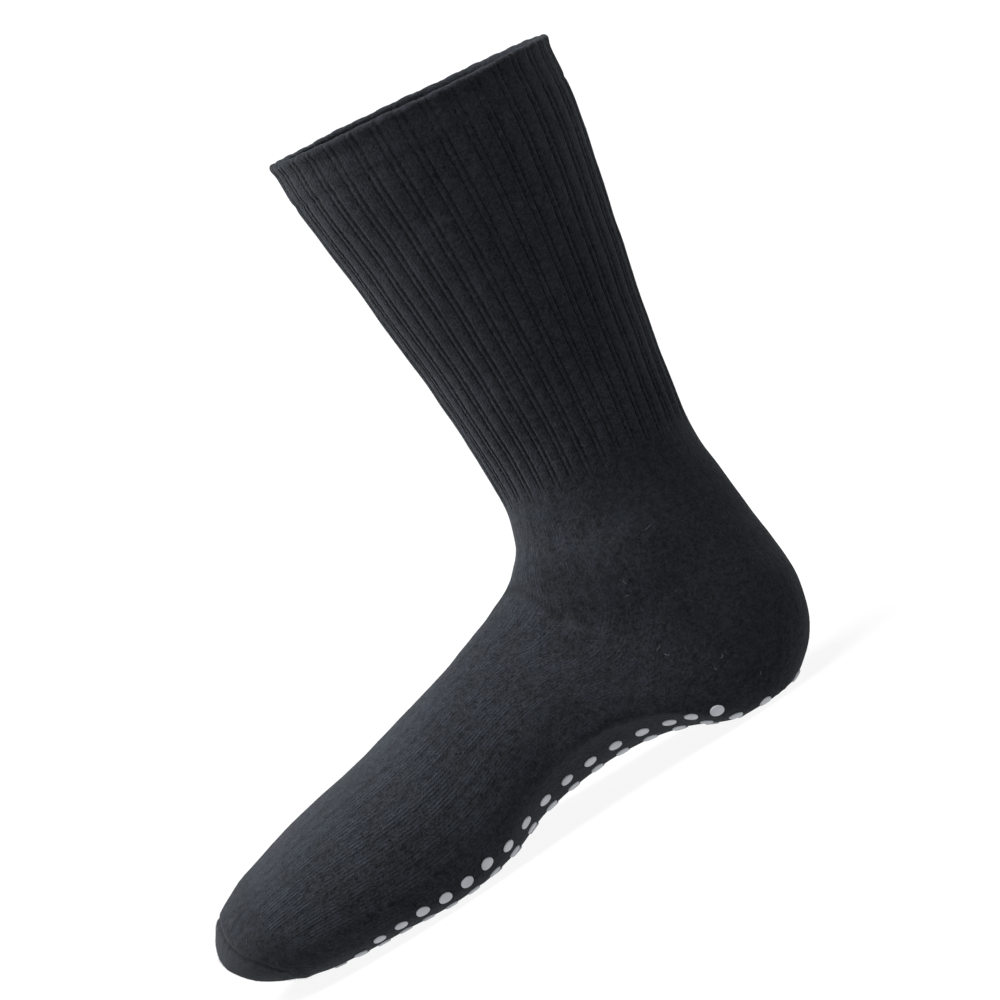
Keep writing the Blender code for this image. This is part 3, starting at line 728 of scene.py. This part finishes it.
def rim(build, leg):
    """The rolled edge of the welt, from the outside over the top to the lining."""
    outer, normal = leg.points[0], leg.normals[0]
    stations = np.full(len(leg.shares), leg.stations[0])
    plain = in_frame(form(stations, leg.angles[0]))
    folded = LINING_RIB_SHARE * ribs(stations, leg.shares)[:, None]
    inner = plain - normal * (LEG_WALL + RIM_SLACK) + normal * folded
    upward = leg.points[0] - leg.points[1]
    upward /= np.linalg.norm(upward, axis=1, keepdims=True)
    middle, half = (outer + inner) / 2, (outer - inner) / 2
    roll = np.linalg.norm(half, axis=1, keepdims=True)
    turns = 2 * math.pi * leg.shares
    scallop = RIM_SCALLOP * (0.5 + 0.5 * np.cos(RIB_REPEATS * turns - math.pi * WIDE_RIB))
    scallop = scallop + 0.00015 * np.sin(5 * turns + 1.1) + 0.0001 * np.sin(11 * turns)
    rise = roll * RIM_ROUNDNESS + scallop[:, None]
    rings = [
        build.ring(middle + half * math.cos(turn) + upward * rise * math.sin(turn), RIM_MARKS)
        for turn in np.linspace(0, math.pi, RIM_RINGS + 1)[1:]
    ]
    courses = [np.full(len(leg.shares), -0.5 * i) for i in range(len(rings) + 1)]
    return rings, courses


class Tree:
    """The nodes of a material or of the world, and short ways to add to them."""

    def __init__(self, node_tree):
        self.nodes, self.links = node_tree.nodes, node_tree.links

    def node(self, kind, inputs=(), **settings):
        """A new node with its settings and its inputs."""
        made = self.nodes.new("ShaderNode" + kind)
        for name, value in settings.items():
            setattr(made, name, value)
        self.feed(made, inputs)
        return made

    def feed(self, node, inputs):
        """Sets inputs of a node, by name or number, to plain values or from sockets."""
        for key, value in dict(inputs).items():
            if isinstance(value, bpy.types.NodeSocket):
                self.links.new(value, node.inputs[key])
            else:
                node.inputs[key].default_value = value

    def maths(self, operation, *values):
        """The result of a math node."""
        return self.node("Math", enumerate(values), operation=operation).outputs[0]

    def weighted(self, *terms):
        """The sum of values, each times its weight."""
        total, *others = [self.maths("MULTIPLY", value, weight) for value, weight in terms]
        for product in others:
            total = self.maths("ADD", total, product)
        return total

    def noise(self, vector, scale, detail=2.0, roughness=0.5):
        """A noise texture."""
        inputs = {"Vector": vector, "Scale": scale, "Detail": detail, "Roughness": roughness}
        return self.node("TexNoise", inputs).outputs["Fac"]

    def fade(self, value, low, high, at_low, at_high):
        """A smooth change from one value to another while the input goes from low to high."""
        inputs = {"Value": value, "From Min": low, "From Max": high, "To Min": at_low, "To Max": at_high}
        return self.node("MapRange", inputs, interpolation_type="SMOOTHSTEP").outputs["Result"]

    def two_colours(self, value, low, dark, high, light):
        """A ramp between two colours."""
        ramp = self.node("ValToRGB", {"Fac": value})
        for element, position, colour in zip(ramp.color_ramp.elements, (low, high), (dark, light)):
            element.position = position
            element.color = (*colour, 1)
        return ramp.outputs["Color"]

    def bump(self, height, strength, distance):
        """The normal of a bump of that height."""
        inputs = {"Height": height, "Strength": strength, "Distance": distance}
        return self.node("Bump", inputs).outputs["Normal"]


def new_material(name):
    """A material, its nodes, its shader and the place in the piece's own space."""
    material = bpy.data.materials.new(name)
    material.use_nodes = True
    tree = Tree(material.node_tree)
    return material, tree, tree.nodes["Principled BSDF"], tree.node("TexCoord").outputs["Object"]


# The knit's noises, from the finest: nap, tufts, clumps, patches and a cloudy one
Grain = namedtuple("Grain", "scale detail roughness")
GRAINS = (
    Grain(1900.0, 3.0, 0.70), Grain(1000.0, 2.0, 0.60), Grain(430.0, 2.0, 0.55), Grain(110.0, 2.0, 0.50),
    Grain(40.0, 2.0, 0.50),
)
KNIT_DARK = (0.0013, 0.0016, 0.0022)
KNIT_LIGHT = (0.0154, 0.0178, 0.0222)
KNIT_TINT = (0.95, 1.00, 1.06)
KNIT_BUMP = 0.00048
# How much painted shade darkens the colour in the grooves between the ribs
GROOVE_PAINTED_SHADE = 0.45
PRINT_DARK = (0.300, 0.315, 0.345)
PRINT_LIGHT = (0.385, 0.400, 0.430)
SEAM_COLOUR = (0.004, 0.0046, 0.006)
FUZZ_COLOUR = (0.020, 0.022, 0.027)
LINT_COLOUR = (0.12, 0.125, 0.14)


def knit_material():
    """Black plush knit: broken wales of slanting stitches, painted shade in the grooves between ribs, and a
    mottled nap.
    """
    material, tree, shader, place = new_material("black_knit")
    maths, weighted = tree.maths, tree.weighted
    split = tree.node("SeparateXYZ", {"Vector": tree.node("UVMap", uv_map="knit").outputs["UV"]})
    around, along = split.outputs["X"], split.outputs["Y"]
    marks = {
        kind: tree.node("Attribute", attribute_name="knit_" + kind).outputs["Fac"] for kind in Marks._fields
    }
    nap, tufts, clumps, patches, cloudy = [tree.noise(place, *grain) for grain in GRAINS]
    pile = weighted((nap, 0.40), (tufts, 0.60))

    from_edge = maths("PINGPONG", weighted((around, 1.0), (tufts, 0.55)), 0.5)
    ridge = maths("POWER", maths("MULTIPLY", from_edge, 2.0), 0.6)
    stitch = maths("PINGPONG", weighted((along, 1.0), (from_edge, 1.3), (clumps, 0.8)), 0.5)
    clear = maths("MULTIPLY", marks["wale"], tree.fade(patches, 0.36, 0.64, 0.4, 1.0))
    loops = maths("MULTIPLY", maths("ADD", ridge, stitch), clear)

    repeat = maths("DIVIDE", around, WALES_A_REPEAT)
    to_wide = maths("ABSOLUTE", maths("SUBTRACT", maths("FRACT", repeat), WIDE_RIB))
    to_groove = maths("MINIMUM", maths("PINGPONG", repeat, 0.5), to_wide)
    ragged = weighted((to_groove, WALES_A_REPEAT), (maths("ADD", tufts, -0.5), 1.5))
    groove = maths("MULTIPLY", tree.fade(ragged, 0.0, 0.60, 1.0, 0.0), marks["rib"])
    height = weighted((loops, 0.60), (pile, 1.5), (clumps, 0.8), (groove, -0.35))

    # The colour's grain from the nap, clumps and clouds, with painted light: a little lighter on the raised
    # loops of the stitches
    nap_grain_and_painted_stitch_light = weighted((pile, 0.62), (clumps, 0.26), (cloudy, 0.12), (maths("SUBTRACT", loops, 0.45), 0.065))
    colour = tree.two_colours(nap_grain_and_painted_stitch_light, 0.37, KNIT_DARK, 0.64, KNIT_LIGHT)
    tint = tree.two_colours(patches, 0.36, (1.0, 1.0, 1.0), 0.60, KNIT_TINT)
    tinted = tree.node("VectorMath", {0: colour, 1: tint}, operation="MULTIPLY").outputs["Vector"]
    # Painted shade: the colour is darker in the grooves between the ribs
    lit = maths("SUBTRACT", 1.0, maths("MULTIPLY", groove, GROOVE_PAINTED_SHADE))
    shade = maths("MULTIPLY", marks["tone"], lit)
    toned = tree.node("VectorMath", {0: tinted, "Scale": shade}, operation="SCALE").outputs["Vector"]
    tree.feed(shader, {
        "Base Color": toned, "Normal": tree.bump(height, 1.0, KNIT_BUMP), "Roughness": 0.96,
        "Specular IOR Level": 0.12, "Sheen Weight": 0.05, "Sheen Roughness": 0.45,
        "Sheen Tint": (0.80, 0.88, 1.0, 1),
    })
    return material


def print_material():
    """The grey rubbery print of the grip dots."""
    material, tree, shader, place = new_material("grip_print")
    tree.feed(shader, {
        "Base Color": tree.two_colours(tree.noise(place, 160.0, 3.0), 0.30, PRINT_DARK, 0.70, PRINT_LIGHT),
        "Normal": tree.bump(tree.noise(place, 900.0), 0.35, 0.0002), "Roughness": 0.58,
        "Specular IOR Level": 0.35,
    })
    return material


def plain_fibre(name, colour, roughness):
    """A matt fibre with a slight change of shade along it."""
    material, tree, shader, place = new_material(name)
    dark, light = ([share * c for c in colour] for share in (0.6, 1.4))
    shade = tree.two_colours(tree.noise(place, 300.0), 0.3, dark, 0.7, light)
    tree.feed(shader, {"Base Color": shade, "Roughness": roughness})
    return material


def surface_tree(knit):
    """A search tree over the fine knit."""
    mesh = knit.data
    points = [v.co.copy() for v in mesh.vertices]
    return BVHTree.FromPolygons(points, [tuple(p.vertices) for p in mesh.polygons])


SOLE_LINE_POINTS = 600
SOLE_GIRTH_POINTS = 401
SOLE_TURN = math.radians(120)


def dot_rows():
    """The station of each row of dots, and how far it reaches to the inner and to the outer side."""
    stations = np.linspace(station("heel_corner"), STATIONS[-1], SOLE_LINE_POINTS)
    points = form(stations, np.full(len(stations), math.pi))
    along = np.concatenate([[0.0], np.cumsum(np.linalg.norm(np.diff(points, axis=0), axis=1))])
    along = along - np.interp(DOT_FIELD_HEEL, -points[:, 0], along)
    last = along[-1] - DOT_FIELD_TOE
    places = [0.0]
    while places[-1] < last:
        places.append(places[-1] + between(DOT_ROW_PITCH_HEEL, DOT_ROW_PITCH_TOE, places[-1] / last))
    row_stations = np.interp([p for p in places if p <= last], along, stations)
    shares = -form(row_stations, np.full(len(row_stations), math.pi))[:, 0] / FOOT_LENGTH
    edges = DotEdge(*zip(*DOT_EDGES))
    inner = BALL_WIDTH * np.interp(shares, edges.along, edges.inner)
    outer = BALL_WIDTH * np.interp(shares, edges.along, edges.outer)
    return zip(row_stations, inner, outer)


def dot_places():
    """The station and the angle of every grip dot, in columns that follow the field's inner edge."""
    turns = np.linspace(-SOLE_TURN, SOLE_TURN, SOLE_GIRTH_POINTS)
    angles = math.pi - turns
    found = []
    for row_station, inner, outer in dot_rows():
        points = form(np.full(len(angles), row_station), angles)
        girth = np.concatenate([[0.0], np.cumsum(np.linalg.norm(np.diff(points, axis=0), axis=1))])
        from_middle = girth - np.interp(0.0, turns, girth)
        for off_middle in np.arange(inner, -outer, -DOT_COLUMN_PITCH):
            found.append((row_station, float(np.interp(off_middle, from_middle, angles))))
    return np.array(found)


# The outline of a dot from its foot to its top, as shares of its radius and height. No two are quite alike
DOT_SIDES = 28
DOT_SPREAD = (0.965, 1.03)
DOT_STRETCH = 0.03
DOT_WOBBLE = 0.018
DOT_RINGS = ((1.0, -0.45), (1.0, 0.20), (0.970, 0.58), (0.890, 0.84), (0.66, 0.97), (0.30, 1.0))


def grip_dots(tree):
    """Domed drops of soft print, laid on the knit and flattened where the sock stands on them."""
    places = dot_places()
    centres = in_frame(form(places[:, 0], places[:, 1]))
    points, faces = [], []
    rng = np.random.default_rng(7)
    for centre in centres:
        location, normal, _, _ = tree.find_nearest(Vector(centre))
        lengthwise = normal.cross(Vector((0, 1, 0))).normalized()
        crosswise = normal.cross(lengthwise)
        radius = DOT_DIAMETER / 2 * rng.uniform(*DOT_SPREAD)
        stretch = rng.uniform(-DOT_STRETCH, DOT_STRETCH)
        first = len(points)
        for share, height in DOT_RINGS:
            for k in range(DOT_SIDES):
                turn = 2 * math.pi * k / DOT_SIDES
                wobble = 1 + DOT_WOBBLE * math.sin(3 * turn + centre[0] * 900)
                off = lengthwise * math.cos(turn) * (1 + stretch) + crosswise * math.sin(turn) * (1 - stretch)
                near, surface, _, _ = tree.find_nearest(location + off * radius * share * wobble)
                blended = (surface + normal).normalized()
                points.append(near + blended * DOT_HEIGHT * height)
        near, surface, _, _ = tree.find_nearest(location)
        points.append(near + surface * DOT_HEIGHT)
        for r in range(len(DOT_RINGS) - 1):
            for k in range(DOT_SIDES):
                a, b = first + r * DOT_SIDES + k, first + r * DOT_SIDES + (k + 1) % DOT_SIDES
                faces.append((a, a + DOT_SIDES, b + DOT_SIDES, b))
        ring = first + (len(DOT_RINGS) - 1) * DOT_SIDES
        for k in range(DOT_SIDES):
            faces.append((ring + k, len(points) - 1, ring + (k + 1) % DOT_SIDES))
        faces.append(tuple(first + k for k in range(DOT_SIDES)))
    flat = [(p[0], p[1], max(p[2], 0.0)) for p in points]
    return mesh_piece("grip_dots", flat, faces)


def mesh_piece(name, points, faces):
    """A smooth mesh object from points and faces."""
    mesh = bpy.data.meshes.new(name)
    mesh.from_pydata([tuple(p) for p in points], [], faces)
    mesh.shade_smooth()
    return add_object(name, mesh)


def tube(points, faces, path, radii, sides=6):
    """Adds a closed tube along a path to lists of points and faces."""
    first = len(points)
    path = np.asarray(path)
    ahead = np.gradient(path, axis=0)
    ahead /= np.linalg.norm(ahead, axis=1, keepdims=True)
    side = np.cross(ahead[0], (0.3, 0.5, 0.81))
    for here, forward, radius in zip(path, ahead, radii):
        side = side - forward * (side @ forward)
        side /= np.linalg.norm(side)
        other = np.cross(forward, side)
        for k in range(sides):
            turn = 2 * math.pi * k / sides
            points.append(here + (side * math.cos(turn) + other * math.sin(turn)) * radius)
    for r in range(len(path) - 1):
        for k in range(sides):
            a, b = first + r * sides + k, first + r * sides + (k + 1) % sides
            faces.append((a, b, b + sides, a + sides))
    last = first + (len(path) - 1) * sides
    faces.append(tuple(first + k for k in range(sides))[::-1])
    faces.append(tuple(last + k for k in range(sides)))


def toe_seam_thread():
    """The linking thread of the toe seam, a low chain of stitches down in its groove."""
    reach = SEAM_REACH - math.radians(3)
    angles = np.linspace(-reach, reach, SEAM_POINTS)
    stations = seam_station(angles)
    plain = in_frame(form(stations, angles))
    before = in_frame(form(stations - 0.0004, angles))
    after = in_frame(form(stations + 0.0004, angles))
    along_seam = np.gradient(plain, axis=0)
    normal = np.cross(after - before, along_seam)
    normal /= np.linalg.norm(normal, axis=1, keepdims=True)
    across = np.cross(normal, along_seam)
    across /= np.linalg.norm(across, axis=1, keepdims=True)
    length = np.concatenate([[0.0], np.cumsum(np.linalg.norm(np.diff(plain, axis=0), axis=1))])
    phase = length / SEAM_STITCH * 2 * math.pi
    depth = -SEAM_DEPTH + SEAM_THREAD * 0.14
    points, faces = [], []
    for shift in (0.0, math.pi):
        path = (
            plain + normal * (depth + 0.00018 * np.cos(2 * phase + shift))[:, None]
            + across * (0.00030 * np.sin(phase + shift))[:, None]
        )
        tube(points, faces, path, np.full(len(path), SEAM_THREAD * 0.30), sides=6)
    return mesh_piece("toe_seam_thread", points, faces)


# Loose fibres on the leg and on the foot each, with ranges of their sizes, and shares of their length
FUZZ_COUNT = 12000
FUZZ_LENGTH = (0.0006, 0.0019)
FUZZ_RISE = (0.15, 0.70)
FUZZ_CURL = (-0.5, 0.9)
FUZZ_HALF_WIDTH = (0.000020, 0.000034)
FUZZ_LOWEST = 0.004
BLADE_SHARES = (0.0, 0.4, 0.75, 1.0)


def fuzz(leg, foot):
    """Loose fibres that stand off the knit, each a short curved blade."""
    rng = np.random.default_rng(21)
    blades = []
    for part in (leg, foot):
        rings, columns = part.points.shape[:2]
        r = rng.integers(2, rings - 2, FUZZ_COUNT)
        c = rng.integers(0, columns, FUZZ_COUNT)
        here = part.points[r, c]
        base = here + (part.points[r + 1, c] - here) * rng.random((FUZZ_COUNT, 1))
        base += (part.points[r, (c + 1) % columns] - here) * rng.random((FUZZ_COUNT, 1))
        normal = part.normals[r, c]
        lean = rng.normal(size=(FUZZ_COUNT, 3))
        lean -= normal * np.sum(lean * normal, axis=1, keepdims=True)
        lean /= np.linalg.norm(lean, axis=1, keepdims=True)
        length = rng.uniform(*FUZZ_LENGTH, (FUZZ_COUNT, 1))
        rise = rng.uniform(*FUZZ_RISE, (FUZZ_COUNT, 1))
        curl = rng.uniform(*FUZZ_CURL, (FUZZ_COUNT, 1))
        wide = np.cross(normal, lean) * rng.uniform(*FUZZ_HALF_WIDTH, (FUZZ_COUNT, 1))
        edges = []
        for share in BLADE_SHARES:
            lift = rise * (share - 0.5 * curl * share * share)
            spine = base + lean * length * share + normal * length * lift
            width = wide * (1 - 0.7 * share)
            edges += [spine - width, spine + width]
        blade = np.stack(edges, axis=1)
        blades.append(blade[base[:, 2] > FUZZ_LOWEST])
    blades = np.concatenate(blades)
    first = np.arange(len(blades))[:, None] * blades.shape[1]
    quads = [first + 2 * k + np.array([0, 1, 3, 2]) for k in range(len(BLADE_SHARES) - 1)]
    return mesh_piece("knit_fuzz", blades.reshape(-1, 3), np.concatenate(quads).tolist())


# Specks of pale lint on the inner side: distance forward of the heel, height, length and turn in degrees
Lint = namedtuple("Lint", "along up length turn")
LINT = (
    Lint(0.0396, 0.0820, 0.0030, 160), Lint(0.0574, 0.0694, 0.0020, 75), Lint(0.0593, 0.0643, 0.0015, 10),
    Lint(0.0600, 0.0413, 0.0020, 55), Lint(0.0584, 0.0378, 0.0017, -20), Lint(0.0417, 0.0264, 0.0018, 5),
    Lint(0.0460, 0.0237, 0.0012, 80), Lint(0.0324, 0.0129, 0.0013, 35),
)
LINT_RADIUS = 0.00005
LINT_CURVE = 0.22
LINT_OFF = 0.00025
LINT_SHARES = np.linspace(-0.5, 0.5, 9)


def lint(tree):
    """Small curls of pale lint caught on the inner side of the ankle and heel."""
    points, faces = [], []
    for index, speck in enumerate(LINT):
        outside = Vector(foot_place(speck.along, speck.up, 0.08))
        hit, normal, _, _ = tree.ray_cast(outside, Vector((0, 1, 0)))
        turn = math.radians(speck.turn)
        forward = Vector((math.cos(turn), 0, math.sin(turn)))
        forward = (forward - normal * forward.dot(normal)).normalized()
        bend = normal.cross(forward)
        path = []
        for share in LINT_SHARES:
            curve = math.sin(share * 4 + index) * LINT_CURVE * speck.length
            path.append(np.array(hit + forward * share * speck.length + bend * curve + normal * LINT_OFF))
        radii = LINT_RADIUS * (1 - 1.6 * LINT_SHARES ** 2)
        tube(points, faces, path, radii, sides=5)
    return mesh_piece("lint", points, faces)


# The camera looks at the inner side of the foot through a long lens, rolled as the photo's sock is tilted.
# The mark is a point in the middle of the sock, and the pixels say where the photograph shows it.
CAMERA_DISTANCE = 1.9
CAMERA_ELEVATION = math.radians(6.0)
CAMERA_ROLL = math.radians(32.0)
PHOTO_PIXELS = 1000
PIXELS_PER_SLOPE = 5050
MARK = (0.0, 0.0, 0.13)
MARK_PIXEL = (397, 522)
SENSOR_WIDTH = 36.0


def camera():
    """A long lens that frames the sock as the photograph does."""
    data = bpy.data.cameras.new("camera")
    made = add_object("camera", data)
    bpy.context.scene.camera = made
    back = np.array([0.0, -math.cos(CAMERA_ELEVATION), math.sin(CAMERA_ELEVATION)])
    level_up = np.array([0.0, math.sin(CAMERA_ELEVATION), math.cos(CAMERA_ELEVATION)])
    level_right = np.array([1.0, 0.0, 0.0])
    right = level_right * math.cos(CAMERA_ROLL) - level_up * math.sin(CAMERA_ROLL)
    up = level_right * math.sin(CAMERA_ROLL) + level_up * math.cos(CAMERA_ROLL)
    across = (PHOTO_PIXELS / 2 - MARK_PIXEL[0]) / PIXELS_PER_SLOPE * CAMERA_DISTANCE
    above = (MARK_PIXEL[1] - PHOTO_PIXELS / 2) / PIXELS_PER_SLOPE * CAMERA_DISTANCE
    eye = np.array(MARK) + right * across + up * above + back * CAMERA_DISTANCE
    data.sensor_width = SENSOR_WIDTH
    data.lens = SENSOR_WIDTH * PIXELS_PER_SLOPE / PHOTO_PIXELS
    data.clip_end = 50.0
    made.matrix_world = Matrix((
        (right[0], up[0], back[0], eye[0]),
        (right[1], up[1], back[1], eye[1]),
        (right[2], up[2], back[2], eye[2]),
        (0, 0, 0, 1),
    ))


# The floor glows a little below white. The surround has one strength on the toe's side and another on the
# heel's, and is brightest behind the sock. The limits are shares of the way there.
FLOOR_REACH = 40.0
FLOOR_GREY = 0.05
FLOOR_GLOW = 0.91
TOE_SIDE_LIGHT = 0.61
HEEL_SIDE_LIGHT = 0.33
SIDE_LIMITS = (-0.1, 0.6)
BEHIND_LIGHT = 1.1
BEHIND_LIMITS = (0.3, 0.8)
KEY_TOWARDS = (-0.30, -0.10, 1.0)
KEY_STRENGTH = 12.0
KEY_SPREAD = math.radians(40)


def sun(name, towards, strength, spread):
    """A broad even light from the direction given."""
    data = bpy.data.lights.new(name, "SUN")
    data.energy = strength
    data.angle = spread
    made = add_object(name, data)
    made.rotation_euler = Vector(towards).to_track_quat("Z", "Y").to_euler()


def studio():
    """A white lit floor, a surround that is brightest behind the sock, and a broad key from above the toe."""
    corners = [(x * FLOOR_REACH, y * FLOOR_REACH, 0) for x, y in ((-1, -1), (1, -1), (1, 1), (-1, 1))]
    floor = mesh_piece("floor", corners, [(0, 1, 2, 3)])
    material, tree, shader, _ = new_material("floor_paper")
    tree.feed(shader, {
        "Base Color": (FLOOR_GREY, FLOOR_GREY, FLOOR_GREY, 1), "Roughness": 0.95, "Specular IOR Level": 0.0,
        "Emission Color": (1, 1, 1, 1), "Emission Strength": FLOOR_GLOW,
    })
    floor.data.materials.append(material)
    world = bpy.data.worlds.new("surround")
    world.use_nodes = True
    tree = Tree(world.node_tree)
    split = tree.node("SeparateXYZ", {"Vector": tree.node("TexCoord").outputs["Generated"]})
    sideways = tree.fade(split.outputs["X"], *SIDE_LIMITS, TOE_SIDE_LIGHT, HEEL_SIDE_LIGHT)
    behind = tree.fade(split.outputs["Y"], *BEHIND_LIMITS, 0.0, BEHIND_LIGHT)
    strength = tree.maths("MAXIMUM", sideways, behind)
    tree.feed(tree.nodes["Background"], {"Color": (1, 1, 1, 1), "Strength": strength})
    bpy.context.scene.world = world
    sun("key", KEY_TOWARDS, KEY_STRENGTH, KEY_SPREAD)
    bpy.context.scene.view_settings.view_transform = "Standard"
    bpy.context.scene.view_settings.look = "None"


def main():
    """Makes every piece, rides it on the part, and sets up the picture."""
    knit, leg, foot = sock_knit()
    knit.data.materials.append(knit_material())
    tree = surface_tree(knit)
    pieces = [
        (knit, "knit", None),
        (grip_dots(tree), "grip_print", print_material()),
        (toe_seam_thread(), "seam_thread", plain_fibre("seam_thread", SEAM_COLOUR, 0.95)),
        (fuzz(leg, foot), "knit", plain_fibre("loose_fibre", FUZZ_COLOUR, 0.9)),
        (lint(tree), "knit", plain_fibre("lint", LINT_COLOUR, 0.9)),
    ]
    for piece, slot, material in pieces:
        if material:
            piece.data.materials.append(material)
        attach(piece, "root")
    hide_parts("knit_body")
    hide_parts("toe_seam")
    camera()
    studio()


main()
